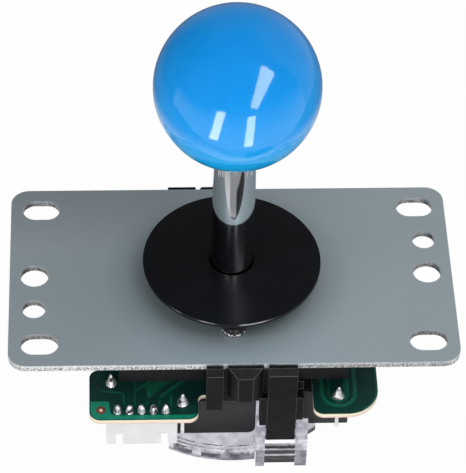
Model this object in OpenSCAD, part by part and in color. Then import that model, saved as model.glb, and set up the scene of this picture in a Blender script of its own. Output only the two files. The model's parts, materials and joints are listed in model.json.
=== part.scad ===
// Lever joystick hung under a flat steel mounting plate, in millimetres.
// The origin is on the lever's axis at the plate's top face.
// +Z is up, +X is to the right and -Y is the front.

/* [Mounting plate] */
// Plate width, left to right
plate_w = 97.5; // [94:0.5:130]
// Plate depth, front to back
plate_d = 52.4; // [50:0.2:60]
// Sheet thickness
plate_t = 1.6; // [1:0.1:2.5]
// Radius of the plate's corners
plate_corner_r = 4; // [1:0.5:8]
// Distance of the slots' middles from the plate's ends
slot_end = 6.75; // [5:0.05:9]
// Slot spacing, front to back
slot_pitch_y = 40; // [36:0.5:44]
// End-to-end length of a slot
slot_len = 8.2; // [6.5:0.1:11]
// Width of a slot
slot_w = 5.7; // [4:0.1:6]
// Distance of the round holes' middles from the plate's ends
hole_end = 5.45; // [4.5:0.05:10]
// Diameter of the two round holes on the centre line
hole_big_d = 6.2; // [4:0.1:7]
// Diameter of the two smaller round holes
hole_small_d = 5.1; // [3:0.1:6]
// Distance of the smaller holes from the centre line
hole_small_y = 9.8; // [8:0.1:12]

/* [Lever] */
// Diameter of the ball grip
ball_d = 35; // [25:0.5:45]
// Height of the ball's centre over the plate
ball_z = 56.7; // [45:0.1:75]
// Diameter of the bright upper shaft
shaft_d = 9.2; // [8:0.1:10]
// Diameter of the lower stem and of the threaded stud in the ball
stem_d = 6; // [5:0.1:6.5]
// Depth of the pivot's centre under the plate's top face
pivot_drop = 4.5; // [3.5:0.1:5.5]
// Diameter of the pivot ball
pivot_d = 16; // [14:0.2:18]
// Tilt to each side at which the gate stops the lever
tilt = 8.5; // [6:0.1:9.5]
// Outside diameter of the ball's threaded insert
insert_d = 9; // [8:0.1:12]

/* [Dust washer] */
// Diameter of the dust washer
washer_d = 39; // [30:0.5:46]
// Thickness of the dust washer
washer_t = 1; // [0.6:0.1:2]
// Height of the washer's underside over the plate
washer_lift = 3.9; // [3.4:0.1:6]

/* [Housing] */
// Width of the housing block under the plate
block_w = 50; // [46:0.5:52]
// Depth of the housing block under the plate
block_d = 41; // [40:0.5:44]
// Wall thickness of the housing
wall = 2; // [1.2:0.1:3]
// Diameter of the collar that stands through the plate
collar_d = 25.4; // [22:0.2:26]
// Thickness of the stiffening ribs round the pivot
rib_t = 1.6; // [1:0.1:3]
// Distance of the plate screws from the lever's axis
screw_y = 16; // [15.8:0.1:17]
// Thread diameter of the plate screws
screw_d = 3; // [2.5:0.1:3.5]
// Length of the plate screws under the head
screw_len = 9; // [6:0.5:10]
// Head diameter of the plate screws
screw_head_d = 5.3; // [4.5:0.1:6]
// Head height of the plate screws
screw_head_h = 2.4; // [1.5:0.1:2.6]

/* [Latches] */
// Offset of each latch finger from the middle of its side
latch_x = 10.25; // [10.2:0.05:10.8]
// Width of a latch finger
finger_w = 6.3; // [5:0.1:6.3]
// Thickness of a latch finger
finger_t = 2.1; // [1.6:0.1:3]
// Reach of the hook's nose under the gate's cross bar
nose_t = 0.9; // [0.6:0.1:1.2]
// Depth of the hook's ledge under the plate's top face
hook_drop = 22.9; // [22.5:0.1:23.4]
// Chamfer on the tops of the fingers, the tab and the boss
top_chamfer = 1.3; // [0.5:0.1:1.5]
// Width of a shoulder beside the finger
shoulder_w = 1.6; // [1:0.1:1.8]
// Width of the narrow locating tab
tab_w = 3.7; // [2.5:0.1:4.2]
// Offset of the tab's middle from the middle of its side
tab_x = -4.4; // [-5:0.1:-4.2]
// Offset of the faceted boss from the middle of its side
boss_x = 2.2; // [1.8:0.1:2.3]
// Width of the faceted boss
boss_w = 7.8; // [6.4:0.1:8]

/* [Circuit board] */
// Depth of the board's top face under the plate's top face
board_drop = 12; // [11.6:0.1:14]
// Thickness of the board
board_t = 1.2; // [0.8:0.1:1.6]
// How far the board reaches past the latch fingers
board_over = 1.9; // [1:0.1:4]
// Diameter of the board's middle opening
board_hole_d = 30; // [29:0.5:31]
// Further reach of the connector's corner of the board
board_lip = 1; // [0:0.1:2]
// Spacing of the connector's pins
pin_pitch = 2.6; // [2.5:0.1:2.8]
// Height of the connector's shell
shell_h = 7.4; // [6:0.1:10]
// Depth of the connector's shell
shell_d = 4.2; // [3.6:0.1:4.4]

/* [Switches] */
// Height of a switch case
case_h = 10.8; // [10:0.1:11]
// Depth of a switch case, from its plunger side to its outer side
case_d = 10.1; // [9.5:0.1:10.2]
// Distance of the plunger side from the lever's axis
case_in = 15.3; // [15.2:0.1:15.6]
// Length of a switch case on the long side of its plunger
case_long = 23.1; // [22:0.1:24]
// Length of a switch case on the short side of its plunger
case_short = 4.85; // [4.5:0.05:4.9]
// Wall thickness of a switch case
case_wall = 1.2; // [0.8:0.1:1.4]
// Diameter of a plunger
plunger_d = 3.5; // [3:0.1:4]
// Travel of a plunger at full tilt
plunger_stroke = 1.5; // [1:0.1:1.6]

/* [Gate, actuator and spring] */
// How far the round gate reaches past the latch fingers
gate_over = 1.45; // [1:0.05:2]
// Thickness of the gate's floor
gate_t = 1.4; // [1:0.1:1.6]
// Depth of the gate's skirt under its floor
skirt_h = 2.6; // [1.5:0.1:3.5]
// Wall thickness of the gate's skirt and guide
gate_wall = 1.6; // [1:0.1:2.4]
// Width of a gate post
post_w = 1.95; // [1.5:0.05:2]
// Extra width of the post on the right of a latch
post_more = 0.65; // [0:0.05:1]
// Reach of the gate posts under the skirt
post_drop = 3.1; // [3:0.1:5]
// Diameter of the actuator
actuator_d = 23; // [21:0.5:23.5]
// Height of the actuator
actuator_h = 5.4; // [5:0.1:5.8]
// Diameter of the spring's pocket in the actuator
pocket_d = 16.6; // [16.2:0.1:18]
// Mean diameter of the return spring
spring_d = 13.8; // [13.6:0.1:14.2]
// Wire diameter of the return spring
wire_d = 1.1; // [0.8:0.05:1.2]
// Turns of the return spring
spring_turns = 4; // [3:0.5:4.5]
// Outside diameter of the spring's seat
seat_d = 18; // [17:0.5:19]
// Thickness of the spring's seat
seat_t = 0.8; // [0.5:0.1:1]

/* [Hidden] */
$fn = 64;
eps = 0.01;
// Clearance of a turning fit and of a fixed fit, and the free gap between pieces that move
run_gap = 0.05;
fix_gap = 0.02;
free_gap = 0.3;
// Steepest lean of the lever, towards a corner of the square gate
corner_tilt = atan(tan(tilt) * sqrt(2));

// Places of the plate's slots and round holes, and the room under a screw's end
slot_pitch_x = plate_w - 2 * slot_end;
hole_x = plate_w / 2 - hole_end;
hole_gap = 0.4;
screw_room = 0.5;

// Levels from the plate down to the gate
plate_under = -plate_t;
board_top = -board_drop;
board_under = board_top - board_t;
lid_t = 1;
lid_under = board_under - lid_t;
case_bottom = board_under - case_h;
plunger_z = board_under - case_h / 2;
gate_under = case_bottom - gate_t;
skirt_bottom = gate_under - skirt_h;
post_bottom = skirt_bottom - post_drop;

// The pivot ball is cut flat over and under its middle, and its socket ends where the stem needs room
pivot_z = -pivot_drop;
pivot_r = pivot_d / 2;
pivot_up = 0.375 * pivot_r;
pivot_down = 0.6 * pivot_r;
socket_down = 0.75 * pivot_r;
shoulder_z = pivot_z + pivot_up + run_gap;
tube_bottom = pivot_z - socket_down;
collar_top = washer_lift - 0.4;
stem_r = stem_d / 2;
shaft_r = shaft_d / 2;

// The washer slides with the shaft at its own height over the pivot
washer_ride = washer_lift + washer_t / 2 - pivot_z;
washer_shift = washer_ride * tan(tilt);
washer_hole_r = shaft_r / cos(corner_tilt) + washer_t / 2 * tan(corner_tilt) + 0.06;

// The seat's hole clears the stem while the two shift to opposite sides
seat_top = tube_bottom - free_gap;
seat_under = seat_top - seat_t;
seat_swing = (pivot_z - seat_under) * tan(tilt) / cos(tilt);
seat_hole_r = stem_r / cos(corner_tilt) + seat_swing + washer_shift + free_gap;

// The actuator is level with the plungers, which it meets at full tilt
actuator_top = plunger_z + 0.57 * actuator_h;
actuator_bottom = actuator_top - actuator_h;
actuator_r = actuator_d / 2;
pocket_floor = actuator_bottom + 1.3;
plunger_r = plunger_d / 2;
push = actuator_r * (1 / cos(tilt) - 1) + (pivot_z - plunger_z + plunger_r) * tan(tilt);
tip_r = actuator_r + push + free_gap - plunger_stroke;

// The ring under the actuator sits in a groove of the stem
ring_t = 0.6;
ring_d = stem_d + 3.2;
groove_r = stem_r - 0.6;
ring_top = actuator_bottom - run_gap;
stem_end = skirt_bottom + 0.5;
gate_open = stem_r / cos(corner_tilt) + (pivot_z - stem_end) * tan(tilt) / cos(tilt) + free_gap;

// The ball's foot is flat where the shaft enters
ball_r = ball_d / 2;
foot_r = shaft_r + 1;
ball_foot = ball_z - sqrt(ball_r * ball_r - foot_r * foot_r);
socket_top = ball_foot + 3;
insert_top = ball_z;
stud_top = insert_top - 1;

// Places of a latch on the front side; the other three sides are turned copies
plate_gap = 0.25;
finger_back = plate_d / 2 + plate_gap;
finger_front = finger_back + finger_t;
finger_left = latch_x - finger_w / 2;
finger_right = latch_x + finger_w / 2;
stop_top = -0.35;
shoulder_top = -9.4;
shoulder_back = finger_back - 1.55;
web_top = -7;
web_t = 0.8;
left_foot = -18.5;
right_foot = -16.7;
arm_under = -8.5;
hook_z = -hook_drop;
nose_top = hook_z + 1.2;
bar_h = 1.5;
bar_t = 1.4;
bar_gap = 0.12;

// Places of the gate's posts beside that latch
side_gap = 0.2;
gate_r = finger_front + gate_over;
post_left = finger_left - side_gap - post_w;
post_right = finger_right + side_gap + post_w + post_more;
post_front = finger_front + 0.65;
bar_front = finger_back - 0.15;
post_back = bar_front - bar_t;
post_step = gate_under - 0.4;
post_lean = 1.5;
post_slope = 3;
grip_top = hook_z - 2.3;
grip_bottom = post_bottom + 0.7;
// The gate's corners are cut away beside its skirt, which makes room for the connector
gate_corner = [14.1, 18.3];

// Outline of the board, with a notch for each latch and room for the connector in front of its switch
pin_edge = 1.5;
shell_gap = 1.45;
case_out = case_in + case_d;
board_half = max(finger_front + board_over, case_out + shell_gap + shell_d / 2 + pin_edge);
board_wide = board_half + board_lip;
notch_in = finger_back - 1.85;
notch_left = tab_x - tab_w / 2 - 1.65;
notch_right = post_right + 0.95;
notch_deep = notch_in - 7;

// Two terminals on each switch: one on its outer side, one past its far end
terminal_w = 0.8;
terminal_t = 0.5;
terminal_bottom = case_bottom + 1.7;
terminal_hole_r = 0.55;
side_terminal = [-11.2, -case_out - 1.3];
function end_terminal(k) = [-case_long - 2.2, -case_out + 2.7] + (k % 2 == 0 ? [-1.4, 1.8] : [0, 0]);
solder_r = 1.2;
solder_h = 2.6;
solder_gap = 0.25;

// Plunger flange inside the case, with room for its travel
flange_t = 0.8;
flange_r = plunger_r + 0.8;
flange_at = case_in + case_wall + plunger_stroke + free_gap;
blade_t = 0.25;
blade_at = flange_at + flange_t + plunger_stroke + free_gap;

// The connector under the board's front left corner
pin_count = 5;
pin_side = 0.6;
pin_hole_r = 0.45;
pin_end = 5.1;
pin_y = -board_half + pin_edge;
pin_first_x = -board_half + pin_end;
pin_row = (pin_count - 1) * pin_pitch;
pin_solder_r = 0.9;
pin_solder_h = 1.9;
shell_end = 2.5;
shell_w = pin_row + 2 * shell_end;
shell_x = pin_first_x + pin_row / 2;
shell_wall = 0.8;
shell_floor = 1;

// The spring's wire runs from the seat to the floor of the actuator's pocket
wire_r = wire_d / 2;
coil_r = spring_d / 2;
curl_rings = 8;
wire_sides = 6;
coil_top = seat_under - run_gap - wire_r;
coil_low = pocket_floor + run_gap + wire_r;

// A flat rectangle with round corners, about the middle
module rounded_rect(w, d, r) {
  square([w - 2 * r, d], center = true);
  square([w, d - 2 * r], center = true);
  for (sx = [-1, 1], sy = [-1, 1])
    translate([sx * (w / 2 - r), sy * (d / 2 - r)]) circle(r);
}

// A slot with round ends along X, about the middle
module slot_shape(length, width) {
  square([length - width, width], center = true);
  for (s = [-1, 1]) translate([s * (length - width) / 2, 0]) circle(width / 2);
}

// What a round corner takes off a square one at the point p, with sx and sy towards the inside
module corner_cut(p, sx, sy, r) {
  translate(p) difference() {
    translate([sx * (r / 2 - 0.5), sy * (r / 2 - 0.5)]) square([r + 1, r + 1], center = true);
    translate([sx * r, sy * r]) circle(r);
  }
}

// A box between two corner points
module span(low, high) {
  translate(low) cube(high - low);
}

// Copies of a front piece on the front, right, rear and left sides
module on_side(k) {
  rotate(90 * k) children();
}

module all_sides() {
  for (k = [0 : 3]) on_side(k) children();
}

module mounting_plate() {
  color("slategray") translate([0, 0, plate_under]) linear_extrude(plate_t) difference() {
    rounded_rect(plate_w, plate_d, plate_corner_r);
    for (sx = [-1, 1], sy = [-1, 1])
      translate([sx * slot_pitch_x / 2, sy * slot_pitch_y / 2]) slot_shape(slot_len, slot_w);
    for (s = [-1, 1]) {
      translate([s * hole_x, 0]) circle(d = hole_big_d);
      translate([s * hole_x, s * hole_small_y]) circle(d = hole_small_d);
      translate([0, s * screw_y]) circle(d = screw_d + hole_gap);
    }
    circle(d = collar_d + hole_gap);
  }
}

// Pan head screws with a cross recess
module plate_screws() {
  recess_w = 0.7;
  recess_l = 0.55 * screw_head_d;
  edge_r = 0.45 * screw_head_h;
  head_r = screw_head_d / 2;
  color("dimgray") for (s = [-1, 1]) translate([0, s * screw_y, 0]) difference() {
    union() {
      rotate_extrude() difference() {
        square([head_r, screw_head_h]);
        corner_cut([head_r, screw_head_h], -1, -1, edge_r);
      }
      translate([0, 0, -screw_len]) cylinder(d = screw_d, h = screw_len + eps);
    }
    for (turn = [0, 90]) rotate(turn)
      translate([0, 0, screw_head_h]) cube([recess_l, recess_w, screw_head_h], center = true);
  }
}

// The hollow that the pivot ball drops into from above
module pivot_socket() {
  socket_r = pivot_r + run_gap;
  flare = 1.2;
  translate([0, 0, pivot_z]) sphere(socket_r);
  translate([0, 0, pivot_z]) cylinder(r = socket_r, h = collar_top - pivot_z + 1);
  translate([0, 0, collar_top - flare]) cylinder(r1 = socket_r, r2 = socket_r + flare, h = flare + eps);
}

// The block under the plate: a roof, four walls, the pivot's tube, its ribs and the screw bosses
module housing_block() {
  boss_wall = 1.7;
  boss_r = screw_d / 2 + boss_wall;
  rib_under = tube_bottom;
  inside = [block_w / 2 - wall, block_d / 2 - wall];
  difference() {
    span([-block_w / 2, -block_d / 2, board_top], [block_w / 2, block_d / 2, plate_under]);
    span([-inside.x, -inside.y, board_top - 1], [inside.x, inside.y, plate_under - wall]);
  }
  translate([0, 0, tube_bottom]) cylinder(d = collar_d, h = collar_top - tube_bottom);
  for (s = [-1, 1]) {
    span([-rib_t / 2, s < 0 ? -inside.y - eps : 0, rib_under], [rib_t / 2, s < 0 ? 0 : inside.y + eps, plate_under]);
    span([s < 0 ? -inside.x - eps : 0, -rib_t / 2, rib_under], [s < 0 ? 0 : inside.x + eps, rib_t / 2, plate_under]);
    translate([0, s * screw_y, rib_under]) cylinder(r = boss_r, h = plate_under - rib_under);
  }
}

// A slanted cut along the front top edge of what stands at the given front
module top_slope(left, right, front, top_z) {
  past = top_chamfer;
  deep = 4 * top_chamfer;
  translate([left - past, -front, top_z - top_chamfer]) rotate([45, 0, 0])
    translate([0, -deep, 0]) cube([right - left + 2 * past, 2 * deep, deep]);
}

// A shoulder beside a finger, with a low web along its back
module latch_shoulder(left, right, foot) {
  shoulder_front = finger_front - 0.5;
  web_front = shoulder_back + 0.4;
  span([left, -shoulder_front, foot], [right, -shoulder_back, shoulder_top]);
  span([left, -web_front, shoulder_top - eps], [right, -web_front + web_t, web_top]);
}

// One latch: an arm under the plate and a springy finger with shoulders and a nose behind its lower end
module latch(top_z, inner) {
  left = finger_left;
  right = finger_right;
  nose_in = 0.6;
  arm_in = min(inner, finger_back);
  span([left, -finger_back - eps, arm_under], [right, -arm_in + eps, plate_under]);
  difference() {
    span([left, -finger_front, hook_z], [right, -finger_back, top_z]);
    if (top_z > plate_under) top_slope(left, right, finger_front, top_z);
  }
  latch_shoulder(left - shoulder_w, left + eps, left_foot);
  latch_shoulder(right - eps, right + shoulder_w, right_foot);
  span([left + nose_in, -finger_back - eps, hook_z], [right - nose_in, -finger_back + nose_t, nose_top]);
}

// The narrow tab and the faceted boss that hold the plate's edge, and the arm that carries them
module edge_stops() {
  boss_left = boss_x - boss_w / 2;
  boss_right = boss_x + boss_w / 2;
  boss_flat = 3.2;
  boss_lean = 0.6;
  boss_front = finger_front + 0.4;
  boss_under = -9.6;
  tab_left = tab_x - tab_w / 2;
  tab_right = tab_x + tab_w / 2;
  tab_under = board_top - 0.6;
  difference() {
    union() {
      span([tab_left, -finger_front, tab_under], [tab_right, -finger_back, stop_top]);
      translate([0, 0, boss_under]) linear_extrude(stop_top - boss_under) polygon([
        [boss_left, -finger_back], [boss_left, -finger_back - boss_lean],
        [boss_x - boss_flat / 2, -boss_front], [boss_x + boss_flat / 2, -boss_front],
        [boss_right, -finger_back - boss_lean], [boss_right, -finger_back]
      ]);
    }
    top_slope(tab_left, boss_right, finger_front, stop_top);
  }
  span([tab_left, -finger_back - eps, board_top], [finger_left + eps, -block_d / 2 + eps, plate_under]);
}

module main_housing() {
  color([0.13, 0.13, 0.14]) difference() {
    union() {
      housing_block();
      for (k = [0, 2]) on_side(k) {
        latch(stop_top, block_d / 2);
        edge_stops();
      }
      for (k = [1, 3]) on_side(k) latch(plate_under, block_w / 2);
    }
    pivot_socket();
    for (s = [-1, 1]) translate([0, s * screw_y, -screw_len - screw_room])
      cylinder(r = screw_d / 2 + fix_gap, h = screw_len + 2 * screw_room);
    for (k = [0 : 3]) on_side(k) {
      translate(side_terminal) solder_relief();
      translate(end_terminal(k)) solder_relief();
    }
  }
}

// Room over the board for one of the switches' solder joints, wherever the housing reaches it
module solder_relief() {
  translate([0, 0, board_top - 1]) cylinder(r = solder_r + solder_gap, h = solder_h + solder_gap + 1);
}

// The board's outline, with a small round corner at the connector and large ones elsewhere
module board_shape() {
  corner_r = 7;
  lip_r = 2.5;
  lobe_r = 2.2;
  notch_r = 1.5;
  notch_mid = (notch_left + notch_right) / 2;
  notch_reach = 20;
  difference() {
    union() {
      square([2 * board_wide, 2 * board_half], center = true);
      translate([-board_wide, -board_wide]) square([board_wide + notch_left, board_wide]);
    }
    corner_cut([-board_wide, -board_wide], 1, 1, lip_r);
    corner_cut([board_wide, -board_half], -1, 1, corner_r);
    corner_cut([board_wide, board_half], -1, -1, corner_r);
    corner_cut([-board_wide, board_half], 1, -1, corner_r);
    for (k = [0 : 3]) on_side(k) {
      edge = k == 2 ? board_half : board_wide;
      translate([notch_mid, -notch_in - notch_reach / 2])
        rounded_rect(notch_right - notch_left, notch_reach, notch_r);
      translate([(finger_left + notch_right) / 2, -(notch_in + notch_deep) / 2 - notch_r])
        rounded_rect(notch_right - finger_left, notch_in - notch_deep + 2 * notch_r, notch_r);
      corner_cut([notch_left, -edge], -1, 1, lobe_r);
      corner_cut([notch_right, k == 0 ? -board_half : -edge], 1, 1, lobe_r);
    }
    circle(d = board_hole_d);
    for (k = [0 : 3]) on_side(k) {
      translate(side_terminal) circle(terminal_hole_r);
      translate(end_terminal(k)) circle(terminal_hole_r);
    }
    for (i = [0 : pin_count - 1]) translate([pin_first_x + i * pin_pitch, pin_y]) circle(pin_hole_r);
  }
}

module circuit_board() {
  color("darkgreen") translate([0, 0, board_under]) linear_extrude(board_t) board_shape();
}

// A shell open below, with two key notches in its front wall
module connector_shell() {
  low = board_under - shell_h;
  notch_w = 1.6;
  notch_h = 3.4;
  notch_x = 4.9;
  inside = [shell_w / 2 - shell_wall, shell_d / 2 - shell_wall];
  hole = pin_side / 2 + fix_gap;
  color("white") translate([shell_x, pin_y, 0]) difference() {
    span([-shell_w / 2, -shell_d / 2, low], [shell_w / 2, shell_d / 2, board_under]);
    span([-inside.x, -inside.y, low - 1], [inside.x, inside.y, board_under - shell_floor]);
    for (s = [-1, 1])
      span([s * notch_x - notch_w / 2, -shell_d / 2 - 1, low - 1], [s * notch_x + notch_w / 2, 0, low + notch_h]);
    for (i = [0 : pin_count - 1]) translate([i * pin_pitch - pin_row / 2, 0, board_under])
      cube([2 * hole, 2 * hole, 3 * shell_floor], center = true);
  }
}

module connector_pins() {
  low = board_under - shell_h + 1.5;
  color("silver") for (i = [0 : pin_count - 1]) translate([pin_first_x + i * pin_pitch, pin_y, low])
    translate([-pin_side / 2, -pin_side / 2, 0]) cube([pin_side, pin_side, board_top - low]);
}

// A cone of solder with a hollow flank
module solder_cone(r, h) {
  rotate_extrude() polygon([[0, 0], [r, 0], [0.62 * r, 0.16 * h], [0.4 * r, 0.45 * h], [0.25 * r, h], [0, h]]);
}

module solder_joints() {
  color("gainsboro") translate([0, 0, board_top]) {
    for (k = [0 : 3]) on_side(k) {
      translate(side_terminal) solder_cone(solder_r, solder_h);
      translate(end_terminal(k)) solder_cone(solder_r, solder_h);
    }
    for (i = [0 : pin_count - 1])
      translate([pin_first_x + i * pin_pitch, pin_y]) solder_cone(pin_solder_r, pin_solder_h);
  }
}

// A switch case, open on top under its lid, with a round hole for the plunger
module switch_case() {
  round_r = 1.6;
  color([0.16, 0.16, 0.17]) difference() {
    translate([0, -case_in, 0]) rotate([90, 0, 0]) linear_extrude(case_d) difference() {
      translate([-case_long, case_bottom]) square([case_long + case_short, lid_under - case_bottom]);
      corner_cut([case_short, case_bottom], -1, 1, round_r);
    }
    span([-case_long + case_wall, -case_out + case_wall, case_bottom + case_wall],
         [case_short - case_wall, -case_in - case_wall, lid_under + 1]);
    translate([0, -case_in + 1, plunger_z]) rotate([90, 0, 0])
      cylinder(r = plunger_r + run_gap, h = case_wall + 2);
  }
}

module switch_lids() {
  color([0.2, 0.2, 0.21]) all_sides()
    span([-case_long, -case_out, lid_under], [case_short, -case_in, board_under]);
}

// A thin blade behind each plunger, held in the case's far wall
module contact_blades() {
  blade_w = 3;
  blade_reach = 1.5;
  color("goldenrod") all_sides()
    span([-case_long + case_wall, -blade_at - blade_t, plunger_z - blade_w / 2],
         [blade_reach, -blade_at, plunger_z + blade_w / 2]);
}

// A flat post through the board with a foot into the case
module side_post() {
  translate(side_terminal) {
    span([-terminal_w / 2, -terminal_t / 2, terminal_bottom], [terminal_w / 2, terminal_t / 2, board_top]);
    span([-terminal_w / 2, -eps, terminal_bottom],
         [terminal_w / 2, -case_out - side_terminal.y, terminal_bottom + terminal_t]);
  }
}

module end_post(k) {
  translate(end_terminal(k)) {
    span([-terminal_t / 2, -terminal_w / 2, terminal_bottom], [terminal_t / 2, terminal_w / 2, board_top]);
    span([-eps, -terminal_w / 2, terminal_bottom],
         [-case_long - end_terminal(k).x, terminal_w / 2, terminal_bottom + terminal_t]);
  }
}

module switch_terminals() {
  color("silver") for (k = [0 : 3]) on_side(k) {
    side_post();
    end_post(k);
  }
}

// A plunger on the front side: a blunt tip towards the actuator and a flange inside the case
module plunger() {
  blunt = 0.7;
  color("ivory") translate([0, 0, plunger_z]) rotate([90, 0, 0]) rotate_extrude() polygon([
    [0, tip_r], [plunger_r - blunt, tip_r], [plunger_r, tip_r + blunt], [plunger_r, flange_at],
    [flange_r, flange_at], [flange_r, flange_at + flange_t], [0, flange_at + flange_t]
  ]);
}

// A bar along X with a side view given in Y and Z
module bar_along(left, right, side_view) {
  translate([left, 0, 0]) rotate([90, 0, 90]) linear_extrude(right - left) polygon(side_view);
}

// A post of the gate: upright below and leaning back above, its top lower at the back
module gate_post(left, right, top, back_top) {
  bar_along(left, right, [
    [-post_back, post_bottom], [-post_front, post_bottom], [-post_front, post_step],
    [-post_front + post_lean, top], [-post_back, back_top]
  ]);
}

// The gate's two posts beside a latch, the cross bar over its nose, a ridged grip and a windowed skirt
module gate_side() {
  left = finger_left - side_gap;
  right = finger_right + side_gap;
  bar_low = nose_top + bar_gap;
  ridge_t = 0.5;
  ridge_h = 1.2;
  ridge_tops = [grip_top - 0.95, grip_top - 2.85];
  ridge_lows = [ridge_tops[0] - ridge_h, grip_bottom];
  grip_front = post_front - 0.9;
  grip_t = 0.7;
  skirt_turn = 37;
  skirt_from = -81 - skirt_turn;
  windows = 3;
  window_w = 4.4;
  window_h = skirt_h - 1.2;
  window_low = skirt_bottom + 0.6;
  rim = gate_r - gate_wall;
  left_top = left_foot - bar_gap;
  right_top = right_foot - bar_gap;
  gate_post(post_left, left, left_top, left_top);
  gate_post(right, post_right, right_top, right_top - post_slope);
  span([left - eps, -bar_front, bar_low], [right + eps, -post_back, bar_low + bar_h]);
  span([left - eps, -grip_front, grip_bottom], [right + eps, -grip_front + grip_t, grip_top]);
  for (i = [0, 1])
    span([left - eps, -grip_front - ridge_t, ridge_lows[i]], [right + eps, -grip_front + eps, ridge_tops[i]]);
  difference() {
    rotate(skirt_from) rotate_extrude(angle = skirt_turn)
      translate([rim, skirt_bottom]) square([gate_wall, skirt_h + eps]);
    for (i = [0 : windows - 1]) rotate(skirt_from + 90 + skirt_turn * (i + 0.5) / windows)
      span([-window_w / 2, -gate_r - 1, window_low], [window_w / 2, -rim + 1, window_low + window_h]);
  }
}

module restrictor_gate() {
  guide = gate_open + gate_wall;
  rib_w = 1;
  rib_in = 9;
  rib_up = 1;
  rib_end = gate_r - rib_in;
  color([0.82, 0.84, 0.9, 0.5]) difference() {
    union() {
      translate([0, 0, gate_under]) cylinder(r = gate_r, h = gate_t);
      span([-guide, -guide, skirt_bottom], [guide, guide, gate_under + eps]);
      for (turn = [0, 90]) rotate(turn)
        span([-rib_end, -rib_w / 2, skirt_bottom + rib_up], [rib_end, rib_w / 2, gate_under + eps]);
    }
    span([-gate_open, -gate_open, skirt_bottom - 1], [gate_open, gate_open, case_bottom + 1]);
    all_sides() {
      span([finger_left - side_gap, -gate_r - 1, gate_under - 1],
           [finger_right + side_gap, -finger_back + side_gap, case_bottom + 1]);
      span([-gate_r - 1, -gate_r - 1, gate_under - 1], [-gate_corner.x, -gate_corner.y, case_bottom + 1]);
    }
  }
  color([0.82, 0.84, 0.9, 0.5]) all_sides() gate_side();
}

module spring_seat() {
  color("dimgray") translate([0, 0, seat_under]) difference() {
    cylinder(d = seat_d, h = seat_t);
    translate([0, 0, -1]) cylinder(r = seat_hole_r, h = seat_t + 2);
  }
}

// One ring of the spring's wire, at a number of rings along it
function coil_ring(i) =
  let (turn = 360 * i / curl_rings, rings = spring_turns * curl_rings)
  let (z = coil_low + (coil_top - coil_low) * i / rings)
  [for (j = [0 : wire_sides - 1])
    let (a = 360 * j / wire_sides, r = coil_r + wire_r * cos(a))
    [r * cos(turn), r * sin(turn), z + wire_r * sin(a)]];

// An open coil: one unbroken tube of triangles with flat ends
module return_spring() {
  last = spring_turns * curl_rings;
  rings = [for (i = [0 : last]) coil_ring(i)];
  points = [for (ring = rings, p = ring) p];
  walls = [for (i = [0 : last - 1], j = [0 : wire_sides - 1])
    let (a = i * wire_sides + j, b = i * wire_sides + (j + 1) % wire_sides)
    each [[a, b, b + wire_sides], [a, b + wire_sides, a + wire_sides]]];
  low_end = [for (j = [1 : wire_sides - 2]) [0, j + 1, j]];
  high = last * wire_sides;
  high_end = [for (j = [1 : wire_sides - 2]) [high, high + j, high + j + 1]];
  gaps = [for (i = [0 : last - curl_rings], p = rings[i], q = rings[i + curl_rings]) norm(p - q)];
  echo(least_gap_between_curls = min(gaps));
  color("silver") polyhedron(points, concat(walls, low_end, high_end));
}

// A cup round the stem that holds the spring and presses the plungers
module actuator() {
  bore_r = stem_r + run_gap;
  pocket_r = pocket_d / 2;
  edge = 0.6;
  color([0.15, 0.15, 0.16]) rotate_extrude() polygon([
    [bore_r, actuator_bottom], [actuator_r - edge, actuator_bottom], [actuator_r, actuator_bottom + edge],
    [actuator_r, actuator_top - edge], [actuator_r - edge, actuator_top], [pocket_r, actuator_top],
    [pocket_r, pocket_floor], [bore_r, pocket_floor]
  ]);
}

module pivot_ball() {
  color("whitesmoke") translate([0, 0, pivot_z]) difference() {
    intersection() {
      sphere(pivot_r);
      translate([0, 0, -pivot_down]) cylinder(r = pivot_r + 1, h = pivot_down + pivot_up);
    }
    translate([0, 0, -pivot_r]) cylinder(r = stem_r + run_gap, h = 2 * pivot_r);
  }
}

// A turned shaft: a stud for the ball, the bright body, a shoulder and a grooved stem with a driver slot
module lever_shaft() {
  edge = 0.4;
  slot = [stem_d + 1, 1.2, 2.8];
  groove_top = ring_top + fix_gap;
  groove_low = ring_top - ring_t - fix_gap;
  color("gainsboro") difference() {
    rotate_extrude() polygon([
      [0, stem_end], [stem_r - edge, stem_end], [stem_r, stem_end + edge], [stem_r, groove_low],
      [groove_r, groove_low], [groove_r, groove_top], [stem_r, groove_top], [stem_r, shoulder_z],
      [shaft_r - edge, shoulder_z], [shaft_r, shoulder_z + edge], [shaft_r, socket_top],
      [stem_r, socket_top], [stem_r, stud_top - edge], [stem_r - edge, stud_top], [0, stud_top]
    ]);
    translate([0, 0, stem_end]) cube(slot, center = true);
  }
}

// A flat ring with a mouth and two notches, pushed into the stem's groove from the side
module retaining_ring() {
  mouth = 1.5 * groove_r;
  notch_r = 0.8;
  notch_turn = 55;
  color("silver") translate([0, 0, ring_top - ring_t]) linear_extrude(ring_t) difference() {
    circle(d = ring_d);
    circle(groove_r + fix_gap);
    translate([-mouth / 2, 0]) square([mouth, ring_d]);
    for (s = [-1, 1]) rotate(-90 + s * notch_turn) translate([groove_r, 0]) circle(notch_r);
  }
}

module ball_top() {
  color("deepskyblue") difference() {
    translate([0, 0, ball_z]) sphere(ball_r);
    translate([0, 0, ball_foot - ball_d]) cylinder(r = ball_d, h = ball_d);
    translate([0, 0, ball_foot - 1]) cylinder(r = shaft_r + fix_gap, h = socket_top - ball_foot + 1);
    translate([0, 0, socket_top - eps]) cylinder(d = insert_d + 2 * fix_gap, h = insert_top - socket_top + eps);
  }
}

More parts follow.
